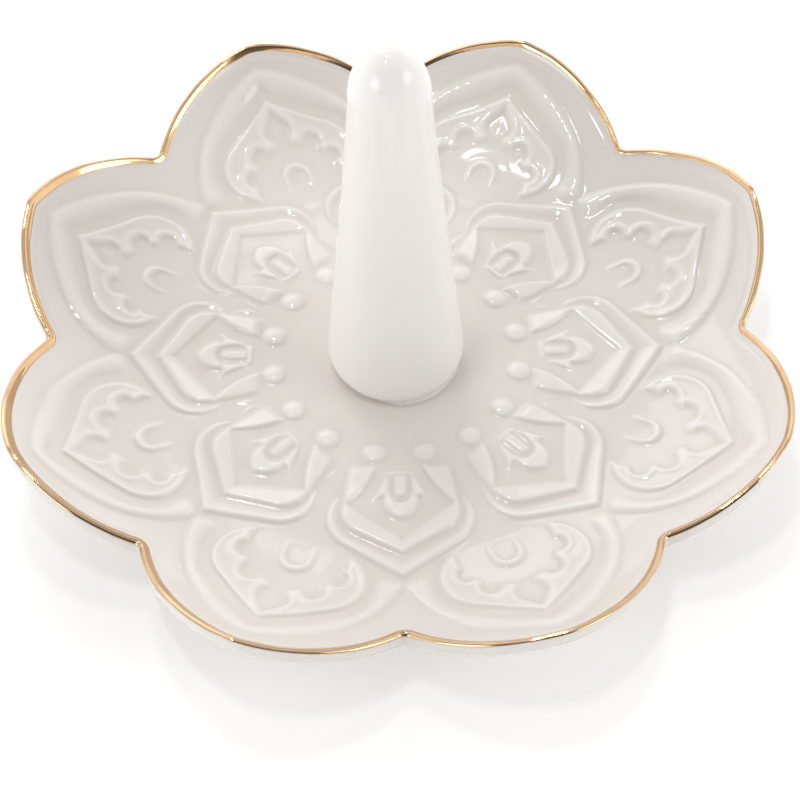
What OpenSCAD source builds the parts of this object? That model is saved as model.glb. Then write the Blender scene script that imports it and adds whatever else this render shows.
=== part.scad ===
// Ring dish: an eight-petalled porcelain tray with a finger for rings in the middle.
// The petals are cut from a shallow bowl. Two tiers of lotus ornament stand proud of it,
// and a band of gold lustre covers the lip. Millimetres, +Z up, resting on z = 0.

/* [Petal dish] */
// Number of petals round the dish
petals = 8; // [7:1:9]
// Radius to the petal tips, over the gold
tip_r = 48; // [46.5:0.5:52]
// Radius of the two arcs that bound each petal
petal_arc_r = 21.3; // [20.5:0.1:23]
// How far each arc's centre is swung over the petal's axis, in degrees
petal_lean = 5; // [3:0.5:7]
// Rounding of the petal tips
tip_round = 4; // [2:0.5:6]
// Rounding of the notches between petals
notch_round = 1.2; // [0.8:0.1:2]
// Thickness of the porcelain, measured upright
wall = 2.8; // [2.2:0.1:4]
// Radius of the flat floor
floor_r = 26.9; // [25:0.1:28]
// Radius of the curve by which the bowl rises to the lip
rise_r = 28.3; // [26:0.1:34]

/* [Gold lip] */
// Width of the gold band on top of the lip
lip_w = 0.9; // [0.7:0.1:1.5]
// How far the gold runs down the outer edge
lip_drop = 0.6; // [0.4:0.1:1.5]
// Thickness that stands for the fired lustre
lustre = 0.2; // [0.15:0.05:0.4]

/* [Foot] */
// Outer radius of the foot ring
foot_r = 23; // [20:0.5:24.5]
// Width of the foot ring
foot_w = 3; // [2:0.5:4]
// Height of the foot ring
foot_h = 1.6; // [1:0.1:3]

/* [Ring finger] */
// Height of the finger above the floor of the dish
finger_h = 50.2; // [40:0.2:60]
// Radius of the finger at its widest, just above its foot
finger_base_r = 8.2; // [7.5:0.1:9.5]
// Height of the rounding at the foot of the finger
base_round_h = 2.6; // [1.5:0.1:4]
// How far that rounding draws the foot in at the floor
base_round_in = 1.6; // [0.8:0.1:2]
// Radius of the finger where its nose begins
finger_neck_r = 4.4; // [3.5:0.1:5]
// Height of the rounded nose
nose_h = 6.2; // [5:0.1:9]
// Lean of the finger to the left, as it was set by hand, in degrees
finger_lean = 1.5; // [0:0.5:2]
// Radius of the hollow at the floor
hollow_r = 4.4; // [3.5:0.1:4.7]
// Wall of the finger at the top of its hollow
finger_wall = 2.4; // [2:0.1:3]
// Radius of the slip worked into the corner under the rounded foot
slip_r = 0.6; // [0.4:0.1:1]

/* [Outer tier of ornament] */
// Height of the outer tier above the bowl
outer_relief = 0.7; // [0.4:0.1:1]
// Plain margin between the tips of the petal and of its border
margin = 2.4; // [2:0.1:4]
// Radius of the two arcs of the border
border_arc_r = 16.3; // [15:0.1:17]
// Swing of those arcs, in degrees
border_lean = 12; // [10:1:14]
// Width of the border at its tip, along the petal's axis
border_w = 3.2; // [2.6:0.1:3.4]
// Width of the groove between border and leaf at their tips
groove_tip_w = 0.9; // [0.7:0.1:1.4]
// Width of that groove beside the leaf
groove_w = 1.5; // [1.1:0.1:1.8]
// Radius of the leaf's shoulders
leaf_shoulder_r = 4.2; // [3.8:0.1:4.4]
// Distance of the shoulders' centres from the petal's axis
leaf_shoulder_x = 4.4; // [4:0.1:4.6]
// Distance of the shoulders' centres below the leaf's tip
leaf_shoulder_drop = 7.9; // [7.4:0.1:8.4]
// Width of the leaf's raised rim at its tip
leaf_rim = 1.1; // [0.9:0.1:1.4]
// Radius of the round scallops along the leaf's sunk field
scallop_r = 1.8; // [1.6:0.1:2]
// Radius of the sunk field that joins the scallops
leaf_field_r = 4.6; // [4.3:0.1:4.8]
// Width of the mouth by which the sunk field opens towards the finger
leaf_mouth = 6.8; // [6:0.1:7.2]
// Outer radius of the horseshoe
horseshoe_r = 2.1; // [1.8:0.05:2.3]
// Width of the horseshoe's ridge
horseshoe_w = 0.95; // [0.7:0.05:1.1]
// Distance of the horseshoe's middle below the leaf's tip
horseshoe_drop = 9.5; // [9:0.1:10]

/* [Inner tier of ornament] */
// Height of the inner tier above the floor
inner_relief = 0.8; // [0.4:0.1:1.1]
// Radius to the tip of the inner petal
inner_tip = 28.7; // [28.4:0.1:29]
// Radius of the two arcs of the inner petal
inner_arc_r = 8.06; // [7.9:0.02:8.2]
// Half the width of the inner petal
inner_half_w = 7; // [6.8:0.1:7.2]
// Length of the inner petal from its tip to its cut-off foot
inner_l = 12.5; // [12:0.1:13]
// Groove between the inner petal's tip and its chevron
chevron_gap = 0.8; // [0.6:0.1:1]
// Width of the chevron at its tip, along the axis
chevron_w = 2.4; // [2:0.1:2.6]
// Half the width of the chevron across its flanks
chevron_half_w = 8.1; // [8:0.05:8.3]
// Radius of the chevron's shoulders
chevron_shoulder_r = 3; // [2.5:0.1:3.5]
// Length of the chevron from its tip to the ends of its flanks
chevron_l = 11; // [9:0.1:11.2]
// Width of the inner petal's rim at its tip
inner_rim = 1.4; // [1.2:0.1:1.8]
// Half the width of the inner petal's field at its corners
field_half_w = 6.4; // [6.2:0.1:6.6]
// Distance of those corners below the inner petal's tip
field_drop = 7; // [6.6:0.1:7.4]
// Radius of the curve that draws in the lower sides of the field
field_curve_r = 4; // [3.6:0.1:4.2]
// Radius of the round end of the lily
lily_r = 2.1; // [1.9:0.1:2.3]
// Half the width of the sunk tongue of the lily
tongue_r = 1.05; // [0.9:0.05:1.2]
// Distance of the lily's round end below the inner petal's tip
lily_drop = 7.4; // [7:0.1:7.8]
// Radius of the circle of beads round the finger
bead_ring_r = 14.6; // [13.8:0.1:14.8]
// Radius of each bead, measured on the floor
bead_r = 1.5; // [1.2:0.1:1.7]

/* [Hidden] */
$fn = 72;
// Sides drawn on the small round forms of the ornament
small_fn = 32;
pitch = 360 / petals;
// The outlines are drawn with their axes along +Y, and turned so that a notch lies on +X.
first_petal = pitch / 2 - 90;
floor_z = foot_h + wall;
far = 100;
// The revolved faces start off the petals' axes, so that no seam meets a tip.
seam = 10;
// The relief reaches this far into the body, so that the two are one piece of clay.
bite = 0.6;
// Clear floor between the two tiers
tier_gap = 0.9;
// Distance of each petal arc's centre from the petal's axis, and from the middle
arc_x = petal_arc_r * sin(petal_lean);
arc_y = tip_r - tip_round - sqrt(pow(petal_arc_r - tip_round, 2) - pow(arc_x, 2));
tip_y = tip_r - tip_round;
// Distance of the notch fillets' centres from the middle
notch_m = arc_y * cos(pitch / 2) - arc_x * sin(pitch / 2);
notch_y = notch_m + sqrt(pow(notch_m, 2) - pow(arc_x, 2) - pow(arc_y, 2) + pow(petal_arc_r + notch_round, 2));
// Angle that the rise of the bowl turns through, to just past the tips
rise_turn = asin((tip_r + 1 - floor_r) / rise_r);
// Height at which the finger's nose begins, and radius of its foot on the floor
neck_z = finger_h - nose_h;
finger_foot_r = finger_base_r - base_round_in;
// Turn of the foot's rounding at which the slip meets it, and radius to the slip's edge on the floor
slip_turn = acos(1 - slip_r / base_round_h);
slip_edge = finger_foot_r + base_round_in * sin(slip_turn) + slip_r;
// The outer tier hangs from the petal's tip, each line from the one outside it.
border_tip = tip_r - margin;
groove_tip = border_tip - border_w;
leaf_tip = groove_tip - groove_tip_w;
leaf_shoulder = [leaf_shoulder_x, leaf_tip - leaf_shoulder_drop];
// Tip of the pointed middle scallop, the radius of its cheeks, and their place beside the axis
scallop_tip = leaf_tip - leaf_rim;
cheek_r = 1.3;
cheek = [0.75, scallop_tip - 2.5];
// The border ends a little beyond the foot of the leaf.
border_base = leaf_shoulder[1] - leaf_shoulder_r + 0.6;
// The round scallops touch the inside of the leaf's rim, one on each shoulder and one below it.
high_scallop = leaf_shoulder + [-1.3, 1.5];
low_scallop = leaf_shoulder + [0.3, -1];
field_middle = [0, leaf_shoulder[1] - 2];
// The inner tier hangs from the inner petal's tip in the same way.
chevron_tip = inner_tip + chevron_gap + chevron_w;
chevron_shoulder = [chevron_half_w - chevron_shoulder_r, chevron_tip - 7.2];
chevron_throat = [inner_half_w + 0.3 - 3.7, inner_tip - 5.5];
inner_foot = inner_tip - inner_l;
field_tip = inner_tip - inner_rim;
field_y = inner_tip - field_drop;
lily_y = inner_tip - lily_drop;
lily_foot = inner_foot + 0.7;
tongue_y = lily_y - 0.4;

// Points on a circle's arc from angle a to angle b, in degrees
function arc(centre, r, a, b, n = 6) =
    [for (i = [0 : n]) let (t = a + (b - a) * i / n) centre + r * [cos(t), sin(t)]];

// A right half from the axis down, closed by its mirror image
function mirrored(half) = concat(half, [for (i = [len(half) - 1 : -1 : 1]) [-half[i][0], half[i][1]]]);

// Direction from one point to another, in degrees
function heading(from, to) = atan2(to[1] - from[1], to[0] - from[0]);

// The right half of a petal's edge, moved inwards: tip, long arc and notch
function petal_half(inset) =
    let (big = [-arc_x, arc_y])
    let (tip = [0, tip_y])
    let (notch = notch_y * [sin(pitch / 2), cos(pitch / 2)])
    let (from = heading(big, tip))
    let (to = heading(big, notch))
    concat(
        arc(tip, tip_round - inset, 90, from, 1),
        [for (i = [1 : 6]) let (t = from + (to - from) * i / 7) big + (petal_arc_r - inset) * [cos(t), sin(t)]],
        arc(notch, notch_round + inset, to + 180, 270 - pitch / 2, 2));

// One petal's edge from notch to notch
function petal_edge(inset) =
    let (half = petal_half(inset))
    concat(
        [for (i = [len(half) - 1 : -1 : 1]) [-half[i][0], half[i][1]]],
        [for (i = [0 : len(half) - 2]) half[i]]);

function turned(p, a) = [p[0] * cos(a) - p[1] * sin(a), p[0] * sin(a) + p[1] * cos(a)];

// Edge of the whole dish, clockwise from petal to petal, with a notch on +X
function dish_edge(inset) =
    [for (k = [0 : petals - 1]) each [for (p = petal_edge(inset)) turned(p, first_petal - k * pitch)]];

// Pointed arch: two arcs that meet on the axis and run down to a level base
function pointed_arch(tip, r, lean, base) =
    let (centre = [-r * sin(lean), tip - r * cos(lean)])
    mirrored(arc(centre, r, 90 - lean, asin((base - centre[1]) / r), 12));

// Ogee: straight flanks from the tip, tangent to round shoulders, and on down to a base where one is given
function ogee(tip, shoulder, r, last, base = []) =
    let (d = norm(shoulder - [0, tip]))
    let (first = heading(shoulder, [0, tip]) - acos(r / d))
    let (drop = [for (y = base) [shoulder[0] + r * cos(last), y]])
    mirrored(concat([[0, tip]], arc(shoulder, r, first, last, 7), drop));

// Height of the bowl's inner face, from its flat floor up the rise
function rise_points(z) =
    [for (i = [0 : 7]) let (t = rise_turn * i / 7) [floor_r + rise_r * sin(t), z + rise_r * (1 - cos(t))]];

// The layer between two heights above the bowl's inner face
module bowl_layer(low, high) {
    top = rise_points(high);
    top_inwards = [for (i = [len(top) - 1 : -1 : 0]) top[i]];
    translate([0, 0, floor_z])
        rotate(seam)
            rotate_extrude()
                polygon(concat([[0, low]], rise_points(low), top_inwards, [[0, high]]));
}

// What stands on the bowl inside the drawn outlines
module on_bowl(low, high) {
    intersection() {
        bowl_layer(low, high);
        linear_extrude(far) children();
    }
}

// Copies round the dish: on the petals' axes, or between them
module around(offset = 0) {
    for (k = [0 : petals - 1]) rotate(first_petal + (k + offset) * pitch) children();
}

// The half plane that lies farther from the finger than a given distance
module beyond(y) {
    translate([-far / 2, y]) square(far);
}

// Broad border of an outer petal, with the groove cut out of it
module border() {
    intersection() {
        difference() {
            polygon(pointed_arch(border_tip, border_arc_r, border_lean, border_base - 2));
            polygon(ogee(groove_tip, leaf_shoulder, leaf_shoulder_r + groove_w, -60));
        }
        beyond(border_base);
    }
}

// Sunk field of the leaf: a pointed scallop, round ones on each side, and a mouth towards the finger
module leaf_field() {
    polygon(ogee(scallop_tip, cheek, cheek_r, -80));
    for (side = [-1, 1]) {
        translate([side * high_scallop[0], high_scallop[1]]) circle(scallop_r, $fn = small_fn);
        translate([side * low_scallop[0], low_scallop[1]]) circle(scallop_r + 0.1, $fn = small_fn);
    }
    translate(field_middle) circle(leaf_field_r, $fn = small_fn);
    translate([-leaf_mouth / 2, field_middle[1] - far]) square([leaf_mouth, far]);
}

// Inner leaf of an outer petal, raised round its sunk field
module leaf() {
    difference() {
        polygon(ogee(leaf_tip, leaf_shoulder, leaf_shoulder_r, -75));
        leaf_field();
    }
}

// Horseshoe that opens towards the finger, its mouth a little narrower than its inside
module horseshoe() {
    mouth = 1.2 * horseshoe_r;
    translate([0, leaf_tip - horseshoe_drop])
        difference() {
            circle(horseshoe_r, $fn = small_fn);
            circle(horseshoe_r - horseshoe_w, $fn = small_fn);
            translate([-mouth / 2, -far]) square([mouth, far]);
        }
}

// Outline of the chevron that caps an inner petal, made larger all round where a gap is wanted
function chevron_edge(grow) =
    ogee(chevron_tip + grow * 1.3, chevron_shoulder, chevron_shoulder_r + grow, 0, [chevron_tip - chevron_l]);

module chevron() {
    difference() {
        polygon(chevron_edge(0));
        polygon(ogee(inner_tip + chevron_gap, chevron_throat, 3.7, 0, [chevron_tip - far]));
    }
}

// Body of an inner petal: two arcs that meet at the tip
module inner_petal() {
    swing = inner_arc_r - inner_half_w;
    middle = inner_tip - sqrt(pow(inner_arc_r, 2) - pow(swing, 2));
    intersection() {
        translate([-swing, middle]) circle(inner_arc_r);
        translate([swing, middle]) circle(inner_arc_r);
        beyond(inner_foot);
    }
}

// Field of an inner petal: straight upper sides, and lower sides drawn in by a curve
module field() {
    foot = inner_foot - 1;
    foot_half_w = field_half_w - 2;
    difference() {
        polygon([[0, field_tip], [field_half_w, field_y], [foot_half_w, foot],
            [-foot_half_w, foot], [-field_half_w, field_y]]);
        for (side = [-1, 1])
            translate([side * (foot_half_w + field_curve_r + 0.2), field_y - field_curve_r - 0.3])
                circle(field_curve_r, $fn = small_fn);
    }
}

// Small lily in the field: a round tongue between two curling horns
module lily() {
    cup_r = 5.6;
    cup_half_w = 3.7;
    horn_r = 1.35;
    difference() {
        union() {
            translate([0, lily_y]) circle(lily_r, $fn = small_fn);
            intersection() {
                translate([cup_half_w - cup_r, lily_y + 0.3]) circle(cup_r, $fn = small_fn);
                translate([cup_r - cup_half_w, lily_y + 0.3]) circle(cup_r, $fn = small_fn);
                translate([-cup_r, lily_foot]) square([2 * cup_r, lily_y + 1.2 - lily_foot]);
            }
        }
        for (side = [-1, 1])
            translate([side * (lily_r + horn_r - 0.4), lily_y + 1.8])
                circle(horn_r, $fn = small_fn);
        translate([0, tongue_y]) circle(tongue_r, $fn = small_fn);
        translate([-tongue_r, lily_foot + 1.7]) square([2 * tongue_r, tongue_y - lily_foot - 1.7]);
    }
}

// Both tiers of petals as one raised drawing
module outer_tier() {
    difference() {
        around() {
            border();
            leaf();
            horseshoe();
        }
        around(0.5) polygon(chevron_edge(tier_gap));
    }
}

module inner_tier() {
    around(0.5) {
        difference() {
            inner_petal();
            field();
        }
        lily();
    }
}

// The same, on the flat floor inside the foot of the rise
module on_floor(low, high) {
    translate([0, 0, floor_z + low]) linear_extrude(high - low) children();
}

// Beads round the foot of the finger, each a ball sunk in the floor
module beads() {
    ball = (bead_r * bead_r + inner_relief * inner_relief) / (2 * inner_relief);
    for (k = [0 : 2 * petals - 1])
        rotate(first_petal + (k + 0.5) * pitch / 2)
            translate([0, bead_ring_r, floor_z + inner_relief - ball]) sphere(ball, $fn = small_fn);
}

// Dish: bowl, petal edge and ornament pressed in one piece of clay
module dish() {
    color("ivory")
        difference() {
            union() {
                on_bowl(-wall, 0) polygon(dish_edge(lustre));
                on_bowl(-bite, outer_relief) outer_tier();
                on_bowl(-bite, inner_relief) around(0.5) chevron();
                on_floor(-bite, inner_relief) inner_tier();
                intersection() {
                    beads();
                    translate([0, 0, floor_z - bite]) cylinder(h = far, r = floor_r);
                }
            }
            translate([0, 0, -1]) cylinder(h = floor_z + 2, r = hollow_r);
        }
}

// Half-oval nose, from its widest up to the axis
function nose_points(r, z, h, n = 10) = [for (i = [0 : n]) [r * cos(90 * i / n), z + h * sin(90 * i / n)]];

// The rounding of the finger's foot, between two turns of its quarter oval: 0 on the floor, 90 at its widest
function foot_points(from, to, n) =
    [for (i = [0 : n]) let (t = from + (to - from) * i / n)
        [finger_foot_r + base_round_in * sin(t), base_round_h * (1 - cos(t))]];

// Turns what is built round the finger's own axis to its lean, and cuts it off at the floor
module leaning() {
    translate([0, 0, floor_z])
        intersection() {
            rotate([0, -finger_lean, 0]) children();
            cylinder(h = far, r = far);
        }
}

module ring_finger() {
    color("snow")
        difference() {
            leaning()
                rotate_extrude()
                    polygon(concat(
                        [[0, -1], [finger_foot_r, -1]],
                        foot_points(0, slip_turn, 3),
                        foot_points(slip_turn, 90, 6),
                        nose_points(finger_neck_r, neck_z, nose_h)));
            leaning()
                rotate_extrude()
                    polygon(concat([[0, -1], [hollow_r, -1], [hollow_r, 0]],
                        nose_points(finger_neck_r - finger_wall, neck_z - 1, nose_h - finger_wall)));
        }
}

// Slip worked into the corner between the rounded foot of the finger and the floor
module slip_fillet() {
    color("linen")
        leaning()
            rotate_extrude()
                polygon(concat(
                    [[finger_foot_r, -1], [slip_edge, -1]],
                    arc([slip_edge, slip_r], slip_r, 270, 180, 5),
                    [for (i = [2 : -1 : 0]) foot_points(0, slip_turn, 3)[i]]));
}

// Gold lustre over the lip: a band on top and a skirt down the edge
module gold_rim() {
    color("goldenrod") {
        on_bowl(0, lustre)
            difference() {
                polygon(dish_edge(0));
                polygon(dish_edge(lip_w));
            }
        on_bowl(-lip_drop, lustre)
            difference() {
                polygon(dish_edge(0));
                polygon(dish_edge(lustre));
            }
    }
}

// Unglazed foot that the dish stands on
module foot_ring() {
    color("tan")
        rotate(seam)
            rotate_extrude()
                translate([foot_r - foot_w, 0]) square([foot_w, foot_h]);
}

dish();
ring_finger();
slip_fillet();
gold_rim();
foot_ring();
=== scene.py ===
"""A porcelain ring dish: a tray of eight petals in lotus relief, with a gilt lip and a finger."""

import math

import bmesh
import bpy
import numpy as np
from mathutils import Matrix, Vector


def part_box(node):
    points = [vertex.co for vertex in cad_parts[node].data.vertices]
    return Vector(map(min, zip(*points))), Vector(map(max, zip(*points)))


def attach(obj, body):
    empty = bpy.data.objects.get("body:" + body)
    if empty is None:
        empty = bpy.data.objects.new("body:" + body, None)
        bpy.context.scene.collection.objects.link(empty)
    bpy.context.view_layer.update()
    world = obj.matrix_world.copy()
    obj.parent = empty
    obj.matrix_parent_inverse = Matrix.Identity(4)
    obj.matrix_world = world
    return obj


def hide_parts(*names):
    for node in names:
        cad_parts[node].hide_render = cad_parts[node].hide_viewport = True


bl_info = {
    "name": "Lotus Ring Dish",
    "version": (1, 0, 0),
    "blender": (4, 5, 0),
    "location": "View3D > Sidebar > Ring Dish",
    "description": "Builds a glazed porcelain ring dish with a gilt lip round the packed solids",
    "category": "Add Mesh",
}

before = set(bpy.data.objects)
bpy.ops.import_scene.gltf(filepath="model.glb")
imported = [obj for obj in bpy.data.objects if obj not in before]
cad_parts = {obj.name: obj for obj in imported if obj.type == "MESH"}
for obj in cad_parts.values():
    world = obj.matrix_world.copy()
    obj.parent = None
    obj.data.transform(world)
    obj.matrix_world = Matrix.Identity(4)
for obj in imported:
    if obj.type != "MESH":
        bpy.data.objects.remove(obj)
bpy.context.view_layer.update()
MM = 0.001
PETALS = 8
PITCH = 2 * math.pi / PETALS
BODY = "root"


def solid(node):
    """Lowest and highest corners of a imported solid, in millimetres."""
    low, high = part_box(node)
    return np.array(low) / MM, np.array(high) / MM


def reach(node):
    """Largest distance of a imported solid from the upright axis, in millimetres."""
    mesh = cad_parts[node].data
    points = np.zeros(len(mesh.vertices) * 3)
    mesh.vertices.foreach_get("co", points)
    return float(np.hypot(*points.reshape(-1, 3).T[:2]).max() / MM)


FOOT_R, _, FOOT_H = solid("foot_ring")[1]
FINGER_LOW, FINGER_HIGH = solid("ring_finger")
# The finger stands on the floor of the dish
FLOOR_Z = FINGER_LOW[2]
FINGER_H = FINGER_HIGH[2] - FLOOR_Z
TIP_R = reach("gold_rim")

# Columns of points across half a petal, and rows from the finger's hollow out to the lip: coarse
# ones under the finger, up to this share of the way, and fine ones beyond
HALF_COLUMNS = 90
HIDDEN_ROWS, FINE_ROWS, HIDDEN_SHARE = 8, 228, 0.16
# Rows over the lip and across the underside
LIP_ROWS, UNDER_ROWS = 26, 40
# Columns round the finger and its slip, the foot, and the gold, whose brushed edges need more
FINGER_COLUMNS, FOOT_COLUMNS, GOLD_COLUMNS = 192, 256, 2880
# How far in from the edge the underside begins
UNDER_INSET = 0.9
# How far round the relief its grooves are found for the pooled glaze and painted shade, and the
# share of both where the surface is plain
POOL_AND_SHADE_REACH, PLAIN_POOL_AND_SHADE = 1.1, 0.45
# How far the finger and its slip are sunk into the floor, so that no gap shows under the lean
ROOT = 0.6
# Power of the curve by which the finger narrows upwards, where 1 would be a straight cone
FINGER_CURVE = 1.12
# The slip is wiped flatter than a quarter circle, to this share of its reach, and runs this far
# in under the finger
SLIP_FLAT, SLIP_UNDER = 0.8, 0.6
# Where round the dish the brush was fullest
GOLD_SIDE = math.radians(205)
# Waves round the dish in the edges of the gold and in the lip, and how far the lip wavers
GOLD_WAVES = (7, 13, 23, 37, 53)
LIP_WAVES, LIP_WAVER = (5, 9, 14, 23, 37, 61), 0.035
# How far the film's edge is lifted off the glaze, and how far the film is closed under it
FILM_LIFT, FILM_ROOT = 0.005, 0.06
# Rounding of the foot ring's lower edges
FOOT_SOFT = 0.4
# How far under the foot the table lies, so that two faces do not share one plane
TABLE_GAP = 0.02


def linear(hexa):
    """An sRGB hex colour as linear red, green and blue."""
    parts = [int(hexa[i:i + 2], 16) / 255 for i in (0, 2, 4)]
    return tuple(c / 12.92 if c <= 0.04045 else ((c + 0.055) / 1.055) ** 2.4 for c in parts)


def mm_prop(name, text, default, low=0.0, high=100.0):
    """A length that the panel shows, held in metres."""
    return bpy.props.FloatProperty(
        name=name, description=text, default=default * MM, min=low * MM, max=high * MM,
        unit="LENGTH", subtype="DISTANCE", precision=5)


def angle_prop(name, text, degrees):
    """An angle that the panel shows, held in radians."""
    return bpy.props.FloatProperty(
        name=name, description=text, default=math.radians(degrees),
        unit="ROTATION", subtype="ANGLE")


def colour_prop(name, text, hexa):
    """A colour that the panel shows."""
    return bpy.props.FloatVectorProperty(
        name=name, description=text, default=linear(hexa), size=3, min=0, max=1, subtype="COLOR")


class RingDishSizes(bpy.types.PropertyGroup):
    """Sizes of the dish, its lip and its finger."""
    tip_r: mm_prop("Tip radius", "Radius to the petal tips, over the gold", TIP_R)
    arc_r: mm_prop("Petal arc", "Radius of the two arcs that bound each petal", 21.3)
    lean: angle_prop("Petal lean", "How far each arc's centre is swung over the petal's axis", 5)
    tip_round: mm_prop("Tip rounding", "Rounding of the petal tips", 4.5)
    notch_round: mm_prop("Notch rounding", "Rounding of the notches between petals", 1.2)
    wall: mm_prop("Wall", "Thickness of the porcelain, measured upright", FLOOR_Z - FOOT_H)
    floor_r: mm_prop("Floor radius", "Radius of the flat floor", 26.9)
    rise_r: mm_prop("Rise", "Radius of the curve by which the bowl rises to the lip", 28.3)
    hollow_r: mm_prop("Hollow", "Radius of the finger's hollow at the floor", 4.4)
    gold_in: mm_prop("Gold inner edge", "How far in from the edge the gold begins", 0.76)
    gold_out: mm_prop("Gold outer edge", "How far down the outside the gold ends", 0.26)
    gold_more: mm_prop("Gold swell", "How much wider the gold is brushed on the left", 0.4)
    gold_wander: mm_prop("Gold wander", "How far the brushed edges of the gold wander", 0.06)
    lustre: mm_prop("Lustre", "Thickness drawn for the gold lustre", 0.04)
    foot_w: mm_prop("Foot width", "Width of the foot ring", 3)
    finger_foot_r: mm_prop("Finger foot", "Radius of the finger where it stands on the floor", 6.6)
    finger_base_r: mm_prop("Finger base", "Radius of the finger above its rounded foot", 8.15)
    base_round_h: mm_prop("Foot rounding", "Height of the finger's rounded foot", 2.3)
    finger_neck_r: mm_prop("Finger neck", "Radius of the finger where its nose begins", 4.44)
    nose_h: mm_prop("Nose", "Height of the rounded nose", 6.2)
    finger_wall: mm_prop("Finger wall", "Wall at the top of the finger's hollow", 2.4)
    finger_lean: angle_prop("Finger lean", "Lean of the finger to the left, as set by hand", 1.5)
    slip_r: mm_prop("Slip radius", "Reach of the slip worked in under the finger's foot", 1.1)


class RingDishOrnament(bpy.types.PropertyGroup):
    """Sizes of the lotus relief."""
    outer_relief: mm_prop("Outer relief", "Height of the outer tier above the bowl", 0.47)
    inner_relief: mm_prop("Inner relief", "Height of the inner tier above the floor", 0.52)
    glaze_soft: mm_prop("Glaze softening", "How far the glaze rounds each edge of the relief", 0.13)
    border_tip: mm_prop("Border tip", "Radius to the tip of the broad border", 46)
    border_arc_r: mm_prop("Border arc", "Radius of the two arcs of the border", 17.3)
    leaf_tip: mm_prop("Leaf tip", "Radius to the tip of the inner leaf", 42.2)
    leaf_round: mm_prop("Leaf shoulder", "Radius of the leaf's shoulders", 4.7)
    groove_w: mm_prop("Groove width", "Distance from the leaf to the bottom of its groove", 0.7)
    horseshoe_r: mm_prop("Horseshoe", "Outer radius of the horseshoe", 2.1)
    horseshoe_y: mm_prop("Horseshoe place", "Distance of the horseshoe from the middle", 31.65)
    chevron_tip: mm_prop("Chevron tip", "Radius to the tip of the chevron", 32.5)
    inner_tip: mm_prop("Inner tip", "Radius to the tip of the inner petal", 29.1)
    field_tip: mm_prop("Field tip", "Radius to the tip of the field in the inner petal", 27.4)
    bead_ring_r: mm_prop("Bead ring", "Radius of the circle of beads", 15)
    bead_r: mm_prop("Bead radius", "Radius of each bead on the floor", 1.4)


class RingDishFinishes(bpy.types.PropertyGroup):
    """Colours of the fired surfaces."""
    porcelain: colour_prop("Porcelain", "White body seen through clear glaze", "EDE9E5")
    # Whiter than the dish's porcelain: partly the finger's own whiter body, partly painted light
    # for the stronger light that falls on it
    cast: colour_prop("Cast porcelain", "Whiter body of the finger", "FAF8F5")
    # Tint of the grooves: partly glaze lying thick there, partly painted shade
    pooled_and_shade: colour_prop("Pooled glaze", "Tint where the glaze lies thick in the grooves", "D8D0C8")
    gold: colour_prop("Gold lustre", "Reflection of the fired gold", "E4C49A")
    gold_thin: colour_prop("Thin gold", "Reflection where the brush left the lustre thin", "CCA279")
    bisque: colour_prop("Bisque", "Bare fired clay of the foot", "E6DCCB")
    floor: colour_prop("Table", "Plain pale table", "FFFFFF")


def sizes():
    """The sizes in millimetres, by name."""
    group = bpy.context.scene.ring_dish_sizes
    return {key: getattr(group, key) / (1 if key in ("lean", "finger_lean") else MM)
            for key in RingDishSizes.__annotations__}


def ornament():
    """The relief's sizes in millimetres, by name."""
    group = bpy.context.scene.ring_dish_ornament
    return {key: getattr(group, key) / MM for key in RingDishOrnament.__annotations__}


# Outlines

def arc(centre, r, first, last, steps):
    """Points on an arc, angles in degrees."""
    turn = np.radians(np.linspace(first, last, steps + 1))
    return [(centre[0] + r * math.cos(t), centre[1] + r * math.sin(t)) for t in turn]


def mirrored(half):
    """A right half from the axis down, closed by its mirror image."""
    return half + [(-x, y) for x, y in half[:0:-1]]


def pointed_arch(tip, r, lean, base):
    """Two arcs that meet on the axis and run down to a level base."""
    centre = (-r * math.sin(math.radians(lean)), tip - r * math.cos(math.radians(lean)))
    last = math.degrees(math.asin((base - centre[1]) / r))
    return mirrored(arc(centre, r, 90 - lean, last, 40))


def ogee(tip, shoulder, r, last, *foot):
    """Straight flanks from the tip, tangent to round shoulders, and any points below them."""
    away = math.hypot(shoulder[0], tip - shoulder[1])
    first = math.degrees(math.atan2(tip - shoulder[1], -shoulder[0]) - math.acos(r / away))
    return mirrored([(0.0, tip)] + arc(shoulder, r, first, last, 24) + list(foot))


def distance_to(x, y, outline):
    """Distance to a closed outline, negative inside it."""
    nearest = np.full(x.shape, np.inf)
    inside = np.zeros(x.shape, bool)
    for (ax, ay), (bx, by) in zip(outline, outline[1:] + outline[:1]):
        dx, dy = bx - ax, by - ay
        along = np.clip(((x - ax) * dx + (y - ay) * dy) / max(dx * dx + dy * dy, 1e-12), 0, 1)
        nearest = np.minimum(nearest, np.hypot(x - ax - along * dx, y - ay - along * dy))
        if dy:
            inside ^= ((ay > y) != (by > y)) & (x < ax + (y - ay) * dx / dy)
    return np.where(inside, -nearest, nearest)


def disc(x, y, centre, r):
    """Distance to a circle, negative inside it."""
    return np.hypot(x - centre[0], y - centre[1]) - r


def arch(x, y, top, r):
    """Distance to a round-headed arch that runs down without end, negative inside it."""
    return np.hypot(x, np.maximum(y - top + r, 0)) - r


def ease(t):
    """A smooth step from 0 to 1."""
    t = np.clip(t, 0, 1)
    return t * t * (3 - 2 * t)


def rise(d, width):
    """0 outside an edge, easing to 1 at a given depth inside it."""
    return ease(-d / width)


def roll(d, depth, width):
    """A soft ridge that runs beside an edge, at a given depth inside it."""
    return np.exp(-((d + depth) / width) ** 2)


def share(outer, inner):
    """Share of the way from an outer edge, inwards, to an inner one."""
    depth = np.maximum(-outer, 0)
    return depth / np.maximum(depth + np.maximum(inner, 0), 1e-6)


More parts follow.
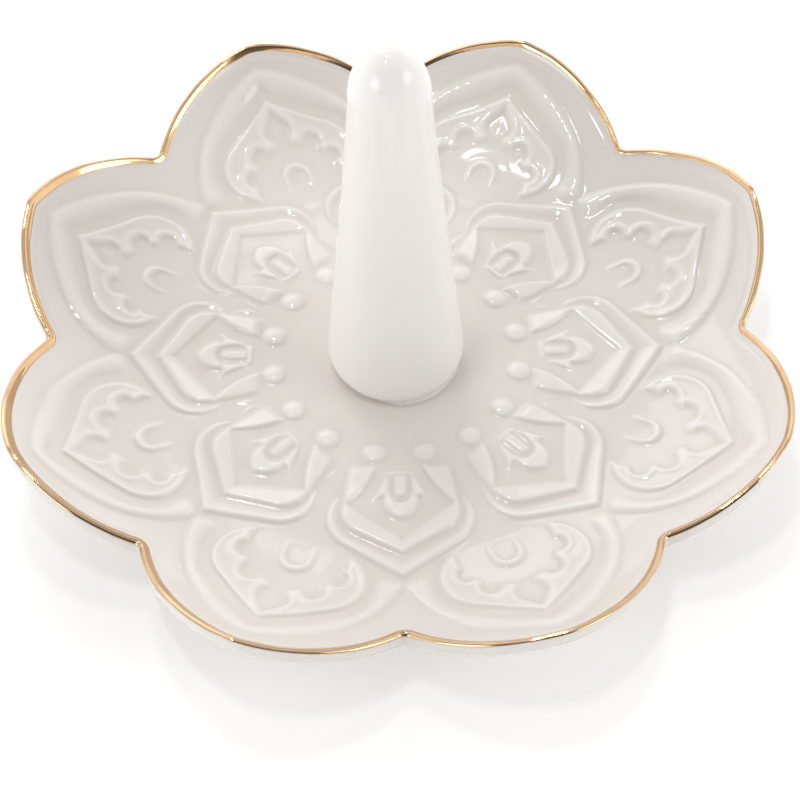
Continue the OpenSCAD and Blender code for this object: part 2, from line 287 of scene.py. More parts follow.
# Relief of the lotus, drawn on half a petal: x is across it and y out along its axis, in
# millimetres. Heights are shares of the relief of their tier.

# Swing of the border's arcs in degrees, and where their foot is
BORDER_SWING, BORDER_FOOT = 12, 27
# Flutes across the border to each petal, and their height
FLUTES, FLUTE_HEIGHT = 27, 0.03
# Width of the leaf's rim at its tip
LEAF_RIM = 1.2
# Discs that scallop the leaf's sunk field: centre and radius
SCALLOPS = (((3.6, 35.3), 1.35), ((5.5, 32.6), 1.15), ((0, 30.4), 5.9))
# Height of the plain ground round the leaf
GROUND = 0.14
# Half of the lily's cup, from its middle out to a point and down to its foot
LILY_CUP = [(0, 21.2), (1.9, 21.3), (2.5, 21.15), (3.9, 22.05),
            (3.0, 20.6), (2.5, 19.5), (1.9, 18.4), (1.3, 17.2)]
# Height of the beads
BEAD_HEIGHT = 0.8


def outer_petal(x, y, o):
    """Height of the border, the leaf and the horseshoe."""
    border = distance_to(x, y, pointed_arch(
        o["border_tip"], o["border_arc_r"], BORDER_SWING, BORDER_FOOT))
    leaf = distance_to(x, y, ogee(o["leaf_tip"], (4.3, 33.6), o["leaf_round"], -80))
    # The border swells from its edge and falls away to the groove round the leaf
    across = share(border, leaf - o["groove_w"])
    band = ease(across / 0.4) * (1 - 0.95 * ease((across - 0.46) / 0.54))
    flutes = FLUTE_HEIGHT * np.cos(FLUTES * PETALS * np.arctan2(x, y)) * ease(across / 0.2)
    flutes *= 1 - ease((across - 0.5) / 0.3)
    band = (band + flutes) * ease((y - 30) / 1.8) * (border < 0)
    # The leaf has a raised rim round a sunk field, shallower towards its tip
    sunk = distance_to(x, y, ogee(o["leaf_tip"] - LEAF_RIM, (0.4, 38), 1.5, -60, (1.6, 35)))
    for centre, r in SCALLOPS:
        sunk = np.minimum(sunk, disc(x, y, centre, r))
    rim = np.maximum(roll(leaf, 0.5, 0.4), roll(-sunk, 0.45, 0.35))
    depth = 0.97 - 0.2 * ease((y - 32.5) / 3.5)
    plate = rise(leaf - 0.2, 0.7) * (0.68 + 0.32 * rim) * (1 - depth * rise(sunk - 0.15, 0.6))
    # The field swells a little in its middle
    plate += 0.14 * rise(sunk + 0.6, 1.5)
    # The horseshoe is an arch less a narrower one, and fades towards its open end
    shoe = np.maximum(arch(x, y, o["horseshoe_y"] + o["horseshoe_r"], o["horseshoe_r"]),
                      -arch(x, y, o["horseshoe_y"] + 0.5, 1.05))
    shoe = rise(shoe, 0.75) * ease((y - 29) / 2.2)
    height = np.maximum(np.maximum(band, plate), GROUND + 0.9 * shoe)
    return o["outer_relief"] * height * (1 - 0.14 * (border > 0))


def chevron_edge(x, y, o):
    """Distance to the chevron round the inner petal, negative inside it."""
    return distance_to(x, y, ogee(o["chevron_tip"], (4.35, 24.0), 4.2, -55, (7.2, 17)))


def inner_petal(x, y, o):
    """Height of the chevron, the inner petal and the lily."""
    chevron = chevron_edge(x, y, o)
    body = distance_to(x, y, ogee(o["inner_tip"], (3.7, 23), 3.35, -10, (6.4, 18.8), (5.6, 16)))
    # The chevron is highest near its outer edge, and fades down its arms
    across = share(chevron, body - 0.35)
    band = ease(across / 0.2) * (0.85 - 0.75 * ease((across - 0.2) / 0.75)) * (chevron < 0)
    band *= 0.3 * ease((y - 16.8) / 1.5) + 0.7 * ease((y - 20.5) / 5)
    # The petal slopes down to a sunk field, and its lower sides slope up to it
    field = distance_to(x, y, mirrored([(0, o["field_tip"]), (6.75, 21.75), (5, 15)]))
    field = np.maximum(field, -disc(x, y, (13.46, 12.9), 11.1))
    slope = share(body, field)
    upper = ease((y - 20.3) / 2.4)
    blade = upper * (1 - 0.45 * slope) + (1 - upper) * (0.55 + 0.4 * slope)
    blade *= rise(body, 0.55) * (1 - 0.85 * rise(field, 0.4)) * ease((y - 16) / 1.4)
    # The lily is a bulb with a cup, hollowed round a tongue
    bulb = np.maximum(disc(x, y, (-0.6, 21.65), 2.85), disc(x, y, (0.6, 21.65), 2.85))
    cup = distance_to(x, y, mirrored(LILY_CUP))
    hollow = np.maximum(arch(x, y, 22.15, 1.72), 17.7 - y)
    tongue = np.maximum(arch(x, y, 21.3, 0.85), 17.8 - y)
    lily = np.maximum(0.95 * rise(bulb, 0.7), 0.75 * rise(cup, 0.5))
    lily = np.maximum(lily * (1 - 0.8 * rise(hollow, 0.45)), 0.7 * rise(tongue, 0.5))
    return o["inner_relief"] * np.maximum(np.maximum(band, blade), lily)


def relief(radius, angle, o):
    """Height of the ornament above the bowl, at angles from a petal's axis, up to half a pitch."""
    side = PITCH / 2 - angle
    u, v = radius * np.sin(side), radius * np.cos(side)
    outer = outer_petal(radius * np.sin(angle), radius * np.cos(angle), o)
    # The outer tier stops short of the chevrons
    outer *= ease((chevron_edge(u, v, o) + 0.2) / 0.9) * ease((radius - 24) / 2)
    bead = np.hypot(radius - o["bead_ring_r"], radius * (side - PITCH / 4)) / o["bead_r"]
    dome = BEAD_HEIGHT * o["inner_relief"] * np.sqrt(np.clip(1 - bead ** 2, 0, 1))
    return np.maximum(np.maximum(outer, inner_petal(u, v, o)), dome)


def blur(count, gap, width):
    """Weights that average a row of points with their neighbours, mirrored at both ends."""
    here, there = np.arange(count)[:, None], np.arange(count)[None, :]
    weights = sum(np.exp(-(apart * gap / width) ** 2 / 2)
                  for apart in (here - there, here + there, 2 * (count - 1) - here - there))
    return weights / weights.sum(1, keepdims=True)


def softened(height, radius, width):
    """The relief with every edge rounded by a width of glaze, on a grid of rows by angles."""
    rows, columns = height.shape
    gap = np.diff(radius.mean(1)).mean()
    height = blur(rows, gap, width) @ height
    step = PITCH / 2 / (columns - 1)
    return np.stack([blur(columns, r.mean() * step, width) @ row for r, row in zip(radius, height)])


# Body of the dish

def bowl_height(radius, s):
    """Height of the bowl's inner face above its floor."""
    out = np.clip(radius - s["floor_r"], 0, s["rise_r"] * 0.95)
    return s["rise_r"] - np.sqrt(s["rise_r"] ** 2 - out ** 2)


def edge_radius(angle, inset, s):
    """Radius of the petal edge, moved inwards, at angles from its axis up to half a pitch."""
    big = np.array((-s["arc_r"] * math.sin(s["lean"]), 0))
    tip = s["tip_r"] - s["tip_round"]
    big[1] = tip - math.sqrt((s["arc_r"] - s["tip_round"]) ** 2 - big[0] ** 2)
    half = PITCH / 2
    middle = big[1] * math.cos(half) + big[0] * math.sin(half)
    apart = s["arc_r"] + s["notch_round"]
    notch_y = middle + math.sqrt(middle ** 2 - big @ big + apart ** 2)
    notch = notch_y * np.array((math.sin(half), math.cos(half)))
    ray = np.stack((np.sin(angle), np.cos(angle)), -1)

    def meet(centre, r, sign):
        """Radius at which each ray meets a circle, and whether it does."""
        along = ray @ np.asarray(centre, float)
        inside = along ** 2 - np.dot(centre, centre) + r ** 2
        return along + sign * np.sqrt(np.maximum(inside, 0)), inside >= 0

    def seam(centre):
        """Angle at which the arc passes into the rounding about a centre."""
        way = (centre - big) / np.linalg.norm(centre - big)
        across, out = (big[k] + (s["arc_r"] - inset) * way[k] for k in (0, 1))
        return np.arctan2(across, out)

    on_arc, _ = meet(big, s["arc_r"] - inset, 1)
    on_tip, _ = meet((0, tip), np.maximum(s["tip_round"] - inset, 0.01), 1)
    on_notch, hits = meet(notch, s["notch_round"] + inset, -1)
    radius = np.where(angle < seam(np.array((0, tip))), on_tip, on_arc)
    return np.where((angle > seam(notch)) & hits, on_notch, radius)


def drift(angle, seed, waves, swell):
    """A slow, seeded unevenness round the dish, of about a given height."""
    random = np.random.default_rng(seed)
    total = np.zeros_like(angle)
    for wave in waves:
        total += random.uniform(0.5, 1) * np.sin(wave * angle + random.uniform(0, 2 * math.pi))
    return swell * total / math.sqrt(len(waves))


def round_angles(count):
    """Angles of the columns round the dish, and each one's angle from the nearest petal's axis."""
    turn = np.arange(count) * 2 * math.pi / count
    from_notch = np.mod(turn, PITCH)
    return turn, np.abs(from_notch - PITCH / 2)


# How the hand-finished petals lie off their even places, notch then tip in turn from the right:
# degrees round the dish, and millimetres outwards, both at the edge
PETAL_SWING = (0, -0.46, -0.35, 0.3, 0.4, 0.16, 0.51, 0.77,
               -0.07, 1.36, 0, -0.07, -0.54, -1.46, -0.84, -2.16)
PETAL_REACH = (0.05, -0.05, 0.32, -0.23, -0.13, -0.32, 0, -0.04,
               -0.2, 0.22, -0.21, 0.45, -0.36, -0.31, -0.06, 0.14)


def settled(turn, values):
    """A smooth closed curve through values at even steps round the dish."""
    count = len(values)
    waves = np.fft.rfft(values) / count
    order = np.arange(len(waves))
    weight = np.where((order == 0) | (order == count / 2), 1, 2)
    return np.real(np.exp(1j * np.multiply.outer(turn, order)) @ (weight * waves))


def place(radius, turn, height):
    """Points at a height above the floor of the dish, in millimetres."""
    parts = np.broadcast_arrays(radius * np.cos(turn), radius * np.sin(turn), FLOOR_Z + height)
    return np.stack(parts, -1)


def place_petal(radius, turn, height, s):
    """Points of the dish, each petal moved to where it really lies, more so towards the edge."""
    share_out = (radius / s["tip_r"]) ** 2
    swung = turn + share_out * np.radians(settled(turn, PETAL_SWING))
    return place(radius + share_out * settled(turn, PETAL_REACH), swung, height)


# Section of the lip: how far in from the edge, and how far above or below the bowl's own line
LIP = np.array((
    (1.5, 0.0), (1.25, 0.02), (1.05, 0.05), (0.9, 0.09), (0.78, 0.16), (0.68, 0.215),
    (0.58, 0.245), (0.48, 0.255), (0.41, 0.24), (0.34, 0.195), (0.27, 0.125), (0.2, 0.035),
    (0.14, -0.06), (0.08, -0.175), (0.03, -0.3), (0.0, -0.45), (0.0, -0.7), (0.01, -1.1),
    (0.03, -1.6), (0.08, -2.05), (0.2, -2.4), (0.38, -2.64), (0.62, -2.76),
))
LIP_W = LIP[0, 0]
# Length along the section to each of its points
LIP_ALONG = np.concatenate(((0,), np.cumsum(np.linalg.norm(np.diff(LIP, axis=0), axis=1))))
# How many of its points lie on the way out to the edge, and the first on the way down
LIP_OUT, LIP_DOWN = 15, 8


def lip_ring(along, turn, off_axis, s, lift=0.0):
    """A ring at a length along the lip's section, one for each angle, lifted square to it."""
    slope = np.gradient(LIP, LIP_ALONG, axis=0)
    inset, up, run, climb = (np.interp(along, LIP_ALONG, column) for column in (*LIP.T, *slope.T))
    inset, up = inset - lift * climb, up - lift * run
    outward = np.clip((LIP_W - inset) / LIP_W, 0, 1)
    waver = drift(turn, 3, LIP_WAVES, LIP_WAVER) * outward
    radius = edge_radius(off_axis, inset, s) + waver
    low = bowl_height(np.minimum(radius, edge_radius(off_axis, 0, s)), s)
    return place_petal(radius, turn, low + up + 0.5 * waver, s)


def lip_in_by(inset):
    """Length along the lip's section to where it is a given way in from the edge."""
    return np.interp(-inset, -LIP[:LIP_OUT, 0], LIP_ALONG[:LIP_OUT])


def lip_down_by(drop):
    """Length along the lip's section to where it is a given way down its outside."""
    return np.interp(drop, -LIP[LIP_DOWN:, 1], LIP_ALONG[LIP_DOWN:])


def weave(name, rings, closed=False):
    """A mesh of quads between closed rings of points, in metres."""
    points = np.stack(rings)
    rows, columns = points.shape[:2]
    verts = points.reshape(-1, 3) * MM
    row = np.arange(rows if closed else rows - 1)[:, None]
    column = np.arange(columns)[None, :]
    beside = (column + 1) % columns
    above = (row + 1) % rows
    quads = np.stack((row * columns + column, row * columns + beside,
                      above * columns + beside, above * columns + column), -1).reshape(-1, 4)
    mesh = bpy.data.meshes.new(name)
    mesh.vertices.add(len(verts))
    mesh.vertices.foreach_set("co", verts.ravel())
    mesh.loops.add(quads.size)
    mesh.loops.foreach_set("vertex_index", quads.ravel().astype(np.int32))
    mesh.polygons.add(len(quads))
    mesh.polygons.foreach_set("loop_start", np.arange(0, quads.size, 4, dtype=np.int32))
    mesh.update(calc_edges=True)
    mesh.validate()
    mesh.shade_smooth()
    piece = bpy.data.objects.new(name, mesh)
    bpy.context.collection.objects.link(piece)
    return piece


def close_poles(piece):
    """Joins the points of each ring that has shrunk to nothing, and clears what is left over."""
    work = bmesh.new()
    work.from_mesh(piece.data)
    bmesh.ops.remove_doubles(work, verts=work.verts, dist=0.001 * MM)
    loose = [edge for edge in work.edges if not edge.link_faces]
    bmesh.ops.delete(work, geom=loose, context="EDGES")
    work.to_mesh(piece.data)
    work.free()


def store(piece, name, values):
    """Keeps one number for each point of a piece, for its material to read."""
    layer = piece.data.attributes.new(name, "FLOAT", "POINT")
    layer.data.foreach_set("value", np.asarray(values, np.float32).ravel())


# Materials

def add(tree, kind, links=None, **settings):
    """Adds a node with its settings and its inputs, given as values or as other nodes' outputs."""
    node = tree.nodes.new(kind)
    for key, value in settings.items():
        setattr(node, key, value)
    for key, value in (links or {}).items():
        socket = node.inputs[key]
        if isinstance(value, bpy.types.NodeSocket):
            tree.links.new(value, socket)
        else:
            socket.default_value = value
    return node


def new_material(name, surface):
    """A material with its output and its shader, whose even values go on its own sockets."""
    material = bpy.data.materials.new(name)
    material.use_nodes = True
    tree = material.node_tree
    tree.nodes.clear()
    shader = add(tree, "ShaderNodeBsdfPrincipled", surface)
    add(tree, "ShaderNodeOutputMaterial", {"Surface": shader.outputs["BSDF"]})
    return material, tree, shader


def per_metre(size_mm):
    """Noise scale for a pattern whose features are a given size."""
    return 1 / (size_mm * MM)


def dress(tree, shader, factor, tints, pattern, strength, depth_mm):
    """Colours a surface between two tints by a factor, and raises a pattern on it."""
    first, second = ((*tint, 1) for tint in tints)
    tint = add(tree, "ShaderNodeMix", {"Factor": factor, "A": first, "B": second},
               data_type="RGBA")
    tree.links.new(tint.outputs["Result"], shader.inputs["Base Color"])
    bump = add(tree, "ShaderNodeBump", {
        "Height": pattern, "Strength": strength, "Distance": depth_mm * MM})
    tree.links.new(bump.outputs["Normal"], shader.inputs["Normal"])


# Clear glaze on porcelain, with a little light that sinks into the body
GLAZED = {"IOR": 1.52, "Subsurface Weight": 0.25, "Subsurface Radius": (1.0, 0.85, 0.7),
          "Subsurface Scale": 0.8 * MM}


def pressed_glazed_porcelain():
    """Pressed porcelain under clear gloss glaze: wet highlights, and a warm, darker tint in the
    grooves, partly pooled glaze and partly painted shade.
    """
    finishes = bpy.context.scene.ring_dish_finishes
    material, tree, shader = new_material("pressed_glazed_porcelain", {**GLAZED, "Roughness": 0.07})
    where = add(tree, "ShaderNodeTexCoord").outputs["Object"]
    # Share of each point that takes the darker groove tint, high in the grooves: partly pooled
    # glaze, partly painted shade
    depth = add(tree, "ShaderNodeAttribute", attribute_name="glaze_pool_and_shade")
    # Faint clouds in the glaze, about 9 mm across
    cloud = add(tree, "ShaderNodeTexNoise", {"Vector": where, "Scale": per_metre(9), "Detail": 2})
    thick = add(tree, "ShaderNodeMath", {0: depth.outputs["Fac"], 1: 0.75}, operation="MULTIPLY")
    mottle_pool_and_shade = add(tree, "ShaderNodeMath", {
        0: cloud.outputs["Fac"], 1: 0.08, 2: thick.outputs[0]}, operation="MULTIPLY_ADD")
    # Slow waves in the glaze, about 4 mm apart and a few microns deep
    waves = add(tree, "ShaderNodeTexNoise", {"Vector": where, "Scale": per_metre(4), "Detail": 3})
    dress(tree, shader, mottle_pool_and_shade.outputs[0], (finishes.porcelain, finishes.pooled_and_shade),
          waves.outputs["Fac"], strength=0.25, depth_mm=0.03)
    return material


def cast_glazed_porcelain():
    """Slip-cast porcelain under the same glaze: smoother, with the faint marks of a sponge."""
    finishes = bpy.context.scene.ring_dish_finishes
    material, tree, shader = new_material("cast_glazed_porcelain", {**GLAZED, "Roughness": 0.1})
    where = add(tree, "ShaderNodeTexCoord").outputs["Object"]
    # Very faint clouds in the glaze, about 14 mm across
    cloud = add(tree, "ShaderNodeTexNoise", {"Vector": where, "Scale": per_metre(14), "Detail": 2})
    faint = add(tree, "ShaderNodeMath", {0: cloud.outputs["Fac"], 1: 0.2}, operation="MULTIPLY")
    # Marks of the sponge that smoothed the seam, about 6 mm apart
    marks = add(tree, "ShaderNodeTexNoise", {"Vector": where, "Scale": per_metre(6), "Detail": 2})
    dress(tree, shader, faint.outputs[0], (finishes.cast, finishes.pooled_and_shade),
          marks.outputs["Fac"], strength=0.3, depth_mm=0.04)
    return material


def fired_gold_lustre():
    """Bright gold fired over glaze: mirror-like, with brush streaks and thin coppery places."""
    finishes = bpy.context.scene.ring_dish_finishes
    material, tree, shader = new_material("fired_gold_lustre", {"Metallic": 1.0})
    where = add(tree, "ShaderNodeTexCoord").outputs["Object"]
    # Thin places of about 3 mm, which are duller too
    patches = add(tree, "ShaderNodeTexNoise", {"Vector": where, "Scale": per_metre(3), "Detail": 3})
    gloss = add(tree, "ShaderNodeMapRange", {
        "Value": patches.outputs["Fac"], "From Min": 0.35, "From Max": 0.7,
        "To Min": 0.05, "To Max": 0.16})
    tree.links.new(gloss.outputs["Result"], shader.inputs["Roughness"])
    # Brush streaks and the glaze's own waves under the film, about 1.5 mm apart
    streaks = add(tree, "ShaderNodeTexNoise", {
        "Vector": where, "Scale": per_metre(1.5), "Detail": 3})
    dress(tree, shader, patches.outputs["Fac"], (finishes.gold, finishes.gold_thin),
          streaks.outputs["Fac"], strength=0.35, depth_mm=0.04)
    return material


def wiped_bisque():
    """Bare fired clay, wiped before firing: dull, faintly gritty and marked by handling."""
    finishes = bpy.context.scene.ring_dish_finishes
    material, tree, shader = new_material("wiped_bisque", {"Roughness": 0.85, "IOR": 1.5})
    where = add(tree, "ShaderNodeTexCoord").outputs["Object"]
    # Clay grains of 0.3 mm, and handling marks of 5 mm that dull the clay by a fifth
    grain = add(tree, "ShaderNodeTexNoise", {"Vector": where, "Scale": per_metre(0.3), "Detail": 4})
    marks = add(tree, "ShaderNodeTexNoise", {"Vector": where, "Scale": per_metre(5), "Detail": 2})
    dull = tuple(0.8 * c for c in finishes.bisque)
    dress(tree, shader, marks.outputs["Fac"], (finishes.bisque, dull),
          grain.outputs["Fac"], strength=0.5, depth_mm=0.05)
    return material


def painted_table():
    """Smooth pale table top under the dish, with a faint glow that keeps the shadow pale."""
    finishes = bpy.context.scene.ring_dish_finishes
    material, tree, shader = new_material("painted_table", {
        "Roughness": 0.6, "Specular IOR Level": 0.2,
        "Emission Color": (*finishes.floor, 1), "Emission Strength": 0.14})
    where = add(tree, "ShaderNodeTexCoord").outputs["Object"]
    # Clouds of about 120 mm, one fiftieth duller
    cloud = add(tree, "ShaderNodeTexNoise", {"Vector": where, "Scale": per_metre(120), "Detail": 2})
    dull = tuple(0.98 * c for c in finishes.floor)
    tint = add(tree, "ShaderNodeMix", {
        "Factor": cloud.outputs["Fac"], "A": (*finishes.floor, 1), "B": (*dull, 1)},
        data_type="RGBA")
    tree.links.new(tint.outputs["Result"], shader.inputs["Base Color"])
    return material


def finish(piece, material, slot, *nodes):
    """Gives a piece its material and its place in the frame."""
    piece.data.materials.append(material)
    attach(piece, BODY)
    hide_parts(*nodes)


def leaning(rings, s):
    """Turns rings built round the finger's own axis to its lean, about its foot."""
    turn = -s["finger_lean"]
    turned = []
    for ring in rings:
        x, up = ring[:, 0], ring[:, 2] - FLOOR_Z
        moved = ring.copy()
        moved[:, 0] = x * math.cos(turn) + up * math.sin(turn)
        moved[:, 2] = FLOOR_Z + up * math.cos(turn) - x * math.sin(turn)
        turned.append(moved)
    return turned


class RINGDISH_OT_dish(bpy.types.Operator):
    """Press the petalled dish with its lotus relief"""
    bl_idname = "ringdish.dish"
    bl_label = "Press the Dish"

    def execute(self, context):
        s, o = sizes(), ornament()
        columns = HALF_COLUMNS * 2 * PETALS
        turn, off_axis = round_angles(columns)
        angle = np.linspace(0, PITCH / 2, HALF_COLUMNS + 1)
        step = np.concatenate((np.linspace(0, HIDDEN_SHARE, HIDDEN_ROWS, endpoint=False),
                               np.linspace(HIDDEN_SHARE, 1, FINE_ROWS, endpoint=False)))
        hollow_r = s["hollow_r"]
        radius = hollow_r + np.multiply.outer(step, edge_radius(angle, LIP_W, s) - hollow_r)
        raised = softened(relief(radius, angle[None, :], o), radius, o["glaze_soft"])
        # The tint is pale on what stands above its surroundings and darker in the grooves: partly
        # thick pooled glaze, partly painted shade in the grooves
        pooled_and_shade = 0.5 - (raised - softened(raised, radius, POOL_AND_SHADE_REACH)) / o["outer_relief"]
        spread = np.rint(off_axis / (PITCH / 2) * HALF_COLUMNS).astype(int)
        rings = [place_petal(r[spread], turn, bowl_height(r[spread], s) + up[spread], s)
                 for r, up in zip(radius, raised)]
        lip = [lip_ring(np.full(columns, along), turn, off_axis, s)
               for along in np.linspace(0, LIP_ALONG[-1], LIP_ROWS)]
        start = edge_radius(off_axis, UNDER_INSET, s)
        inward = [start + (hollow_r - start) * way for way in np.linspace(0, 1, UNDER_ROWS)]
        under = [place_petal(r, turn, bowl_height(r, s) - s["wall"], s) for r in inward]
        dish = weave("dish_porcelain", rings + lip + under, closed=True)
        plain = np.full((len(lip) + len(under), columns), PLAIN_POOL_AND_SHADE)
        store(dish, "glaze_pool_and_shade", np.concatenate((pooled_and_shade[:, spread], plain)))
        finish(dish, pressed_glazed_porcelain(), "glazed_porcelain", "dish")
        return {"FINISHED"}


class RINGDISH_OT_finger(bpy.types.Operator):
    """Cast the hollow finger that holds rings"""
    bl_idname = "ringdish.finger"
    bl_label = "Cast the Finger"

    def execute(self, context):
        s = sizes()
        turn, _ = round_angles(FINGER_COLUMNS)
        foot_h, neck_z = s["base_round_h"], FINGER_H - s["nose_h"]
        foot_r, base_r, neck_r = s["finger_foot_r"], s["finger_base_r"], s["finger_neck_r"]
        # From the foot up the outside, over the nose and down the hollow
        section = [(foot_r, -ROOT)]
        for a in np.linspace(-90, 0, 16):
            c, up = math.cos(math.radians(a)), math.sin(math.radians(a))
            section.append((foot_r + (base_r - foot_r) * c, foot_h + foot_h * up))
        for t in np.linspace(0, 1, 60)[1:-1]:
            section.append((neck_r + (base_r - neck_r) * (1 - t) ** FINGER_CURVE,
                            foot_h + (neck_z - foot_h) * t))
        for a in np.radians(np.linspace(0, 90, 30)):
            section.append((neck_r * math.cos(a), neck_z + s["nose_h"] * math.sin(a)))
        inner_r = neck_r - s["finger_wall"]
        top = FINGER_H - s["finger_wall"]
        for a in np.radians(np.linspace(90, 0, 12)):
            section.append((inner_r * math.cos(a), top - inner_r + inner_r * math.sin(a)))
        section.append((s["hollow_r"], -ROOT))
        rings = [place(np.full_like(turn, r), turn, up) for r, up in section]
        finger = weave("finger_porcelain", leaning(rings, s), closed=True)
        close_poles(finger)
        finish(finger, cast_glazed_porcelain(), "finger_porcelain", "ring_finger")
        return {"FINISHED"}


class RINGDISH_OT_slip(bpy.types.Operator):
    """Work slip into the corner under the finger's foot"""
    bl_idname = "ringdish.slip"
    bl_label = "Fill the Corner"

    def execute(self, context):
        s = sizes()
        turn, _ = round_angles(FINGER_COLUMNS)
        slip_r, foot_r = s["slip_r"], s["finger_foot_r"]
        # The brush left its outer edge a little uneven
        uneven = 0.08 * slip_r * (1 + np.sin(5 * turn + 1) + 0.6 * np.sin(11 * turn))
        rings = [place(np.full_like(turn, foot_r + slip_r), turn, -ROOT)]
        for a in np.radians(np.linspace(270, 190, 10)):
            r = foot_r + slip_r + slip_r * math.cos(a) * SLIP_FLAT
            rings.append(place(r + uneven, turn, SLIP_FLAT * slip_r * (1 + math.sin(a))))
        for up in (SLIP_FLAT * slip_r, -ROOT):
            rings.append(place(np.full_like(turn, foot_r - SLIP_UNDER), turn, up))
        slip = weave("slip_porcelain", leaning(rings, s), closed=True)
        finish(slip, bpy.data.materials["cast_glazed_porcelain"], "glazed_slip", "slip_fillet")
        return {"FINISHED"}


class RINGDISH_OT_gold(bpy.types.Operator):
    """Brush gold lustre on the lip"""
    bl_idname = "ringdish.gold"
    bl_label = "Gild the Lip"

    def execute(self, context):
        s = sizes()
        turn, off_axis = round_angles(GOLD_COLUMNS)
        swell = s["gold_more"] * (0.5 + 0.5 * np.cos(turn - GOLD_SIDE))
        first = lip_in_by(s["gold_in"]) - swell + drift(turn, 5, GOLD_WAVES, s["gold_wander"])
        last = lip_down_by(s["gold_out"]) + drift(turn, 8, GOLD_WAVES, s["gold_wander"])
        outside, inside = [], []
        for t in np.linspace(0, 1, 14):
            along = first + (last - first) * t
            # The film thins out at both of its edges
            lift = FILM_LIFT + s["lustre"] * (1 - (2 * t - 1) ** 8)
            outside.append(lip_ring(along, turn, off_axis, s, lift=lift))
            inside.append(lip_ring(along, turn, off_axis, s, lift=-FILM_ROOT))
        gold = weave("gold_lustre_band", outside + inside[::-1], closed=True)
        finish(gold, fired_gold_lustre(), "gold_lustre", "gold_rim")
        return {"FINISHED"}


class RINGDISH_OT_foot(bpy.types.Operator):
    """Turn the bare foot ring"""
    bl_idname = "ringdish.foot"
    bl_label = "Turn the Foot"

    def execute(self, context):
        s = sizes()
        turn, _ = round_angles(FOOT_COLUMNS)
        inner_r = FOOT_R - s["foot_w"]
        section = []
        for centre_r, first in ((FOOT_R - FOOT_SOFT, 0), (inner_r + FOOT_SOFT, -90)):
            for a in np.radians(np.linspace(first, first - 90, 6)):
                section.append((centre_r + FOOT_SOFT * math.cos(a),
                                FOOT_SOFT + FOOT_SOFT * math.sin(a)))
        section += [(inner_r, FOOT_H), (FOOT_R, FOOT_H)]
        rings = [place(np.full_like(turn, r), turn, z - FLOOR_Z) for r, z in section]
        foot = weave("foot_bisque", rings[::-1], closed=True)
        finish(foot, wiped_bisque(), "bare_bisque", "foot_ring")
        return {"FINISHED"}


class RINGDISH_OT_stage(bpy.types.Operator):
    """Set the table, the lights and the camera"""
    bl_idname = "ringdish.stage"
    bl_label = "Set the Stage"

    def execute(self, context):
        scene = context.scene
        bpy.ops.mesh.primitive_plane_add(size=6)
        table = context.active_object
        table.name = "table"
        table.location.z = -TABLE_GAP * MM
        table.data.materials.append(painted_table())
        light_studio(scene)
        add_camera(scene)
        return {"FINISHED"}


# A soft key from behind, a fill on either side, and two small strips overhead that draw the sharp
# glints: where, size in metres, watts
LAMPS = (
    ("key", (-0.22, 0.75, 0.62), (0.6, 0.4), 1.1),
    ("fill", (-0.55, -0.5, 0.34), (0.4, 0.3), 1.4),
    ("right_fill", (0.6, -0.25, 0.36), (0.4, 0.3), 1.0),
    ("spark", (-0.12, 0.0, 0.68), (0.08, 0.04), 0.4),
    ("rear_spark", (-0.08, 0.24, 0.64), (0.08, 0.04), 0.33),
)
# A dark card hangs in front, where the outer bevel of the gold looks: the way to its middle, how
# it is widened, the reach of its dark part and of its soft edge, and how bright it is
CARD_WAY, CARD_WIDENED = (0, -0.8, 0.6), (0.5, 1, 1)
CARD_DARK, CARD_EDGE, CARD_LIGHT = 0.46, 0.7, 0.14
# The walls of the room are brighter than its ceiling: height and brightness of each
WALL, CEILING = (0.1, 1.38), (0.9, 0.6)
ROOM_WHITE = "FFFEFD"


def light_studio(scene):
    """A bright room with a dark card in front, and the lamps."""
    scene.view_settings.view_transform = "Standard"
    world = bpy.data.worlds.new("studio")
    scene.world = world
    world.use_nodes = True
    tree = world.node_tree
    where = add(tree, "ShaderNodeTexCoord").outputs["Generated"]
    widened = add(tree, "ShaderNodeVectorMath", {0: where, 1: CARD_WIDENED}, operation="MULTIPLY")
    apart = add(tree, "ShaderNodeVectorMath", {0: widened.outputs["Vector"], 1: CARD_WAY},
                operation="DISTANCE")
    card = add(tree, "ShaderNodeMapRange", {
        "Value": apart.outputs["Value"], "From Min": CARD_DARK, "From Max": CARD_EDGE,
        "To Min": CARD_LIGHT, "To Max": 1.0}, interpolation_type="SMOOTHSTEP")
    way = add(tree, "ShaderNodeSeparateXYZ", {"Vector": where})
    height = add(tree, "ShaderNodeMapRange", {
        "Value": way.outputs["Z"], "From Min": WALL[0], "From Max": CEILING[0],
        "To Min": WALL[1], "To Max": CEILING[1]})
    bright = add(tree, "ShaderNodeMath", {0: card.outputs["Result"], 1: height.outputs["Result"]},
                 operation="MULTIPLY")
    background = tree.nodes["Background"]
    background.inputs["Color"].default_value = (*linear(ROOM_WHITE), 1)
    tree.links.new(bright.outputs["Value"], background.inputs["Strength"])
    for name, place_m, size, watts in LAMPS:
        light = bpy.data.lights.new(name, "AREA")
        light.shape = "RECTANGLE"
        light.size, light.size_y = size
        light.energy = watts
        lamp = bpy.data.objects.new(name, light)
        lamp.location = place_m
        lamp.rotation_euler = (-Vector(place_m)).to_track_quat("-Z", "Y").to_euler()
        scene.collection.objects.link(lamp)


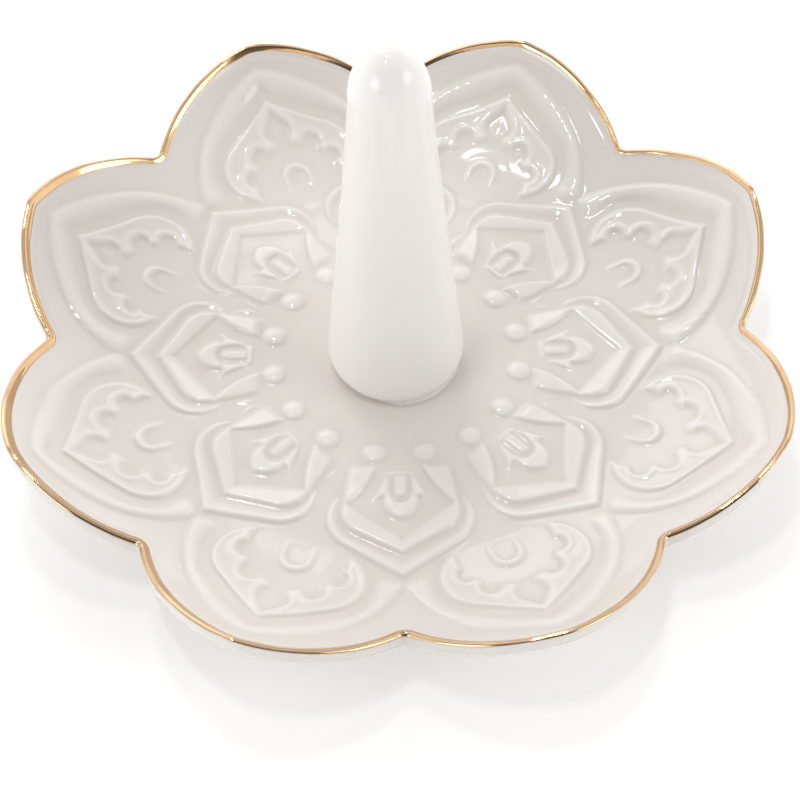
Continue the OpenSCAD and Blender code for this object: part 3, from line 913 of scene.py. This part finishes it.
def add_camera(scene):
    """The photograph's view: a short telephoto from the front, a little over half way up."""
    data = bpy.data.cameras.new("camera")
    camera = bpy.data.objects.new("camera", data)
    scene.collection.objects.link(camera)
    # How far round the dish the view stands from its front, how far down it looks, and its tilt
    round_by, down_by, tilt = math.radians(-2.42), math.radians(53.53), math.radians(1.047)
    aside = math.radians(-0.054)
    camera_back, camera_up = 151.21, 199.34
    eye = Matrix.Rotation(round_by, 4, "Z") @ Vector((0, -camera_back, camera_up)) * MM
    heading = Matrix.Rotation(round_by + aside, 4, "Z")
    forward = heading @ Vector((0, math.cos(down_by), -math.sin(down_by)))
    right = heading @ Vector((1, 0, 0))
    up = right.cross(forward)
    leaning_right = right * math.cos(tilt) + up * math.sin(tilt)
    leaning_up = up * math.cos(tilt) - right * math.sin(tilt)
    camera.matrix_world = Matrix((
        (leaning_right[0], leaning_up[0], -forward[0], eye[0]),
        (leaning_right[1], leaning_up[1], -forward[1], eye[1]),
        (leaning_right[2], leaning_up[2], -forward[2], eye[2]),
        (0, 0, 0, 1)))
    data.sensor_width = 36
    data.lens = 91.5
    data.shift_x = 0.0046
    data.shift_y = 0.0012
    data.clip_start = 0.01
    scene.camera = camera


OPERATORS = (RINGDISH_OT_dish, RINGDISH_OT_finger, RINGDISH_OT_slip,
             RINGDISH_OT_gold, RINGDISH_OT_foot, RINGDISH_OT_stage)


class RINGDISH_PT_panel(bpy.types.Panel):
    """Lists the pieces of the dish and their sizes"""
    bl_label = "Ring Dish"
    bl_space_type = "VIEW_3D"
    bl_region_type = "UI"
    bl_category = "Ring Dish"

    def draw(self, context):
        layout = self.layout
        for operator in OPERATORS:
            layout.operator(operator.bl_idname)
        for group in (context.scene.ring_dish_sizes, context.scene.ring_dish_ornament,
                      context.scene.ring_dish_finishes):
            box = layout.box()
            for key in group.__annotations__:
                box.prop(group, key)


CLASSES = (RingDishSizes, RingDishOrnament, RingDishFinishes, *OPERATORS, RINGDISH_PT_panel)


def register():
    for cls in CLASSES:
        bpy.utils.register_class(cls)
    bpy.types.Scene.ring_dish_sizes = bpy.props.PointerProperty(type=RingDishSizes)
    bpy.types.Scene.ring_dish_ornament = bpy.props.PointerProperty(type=RingDishOrnament)
    bpy.types.Scene.ring_dish_finishes = bpy.props.PointerProperty(type=RingDishFinishes)


def unregister():
    del bpy.types.Scene.ring_dish_finishes
    del bpy.types.Scene.ring_dish_ornament
    del bpy.types.Scene.ring_dish_sizes
    for cls in reversed(CLASSES):
        bpy.utils.unregister_class(cls)


def main():
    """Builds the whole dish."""
    register()
    bpy.ops.ringdish.dish()
    bpy.ops.ringdish.finger()
    bpy.ops.ringdish.slip()
    bpy.ops.ringdish.gold()
    bpy.ops.ringdish.foot()
    bpy.ops.ringdish.stage()


if __name__ == "__main__":
    main()
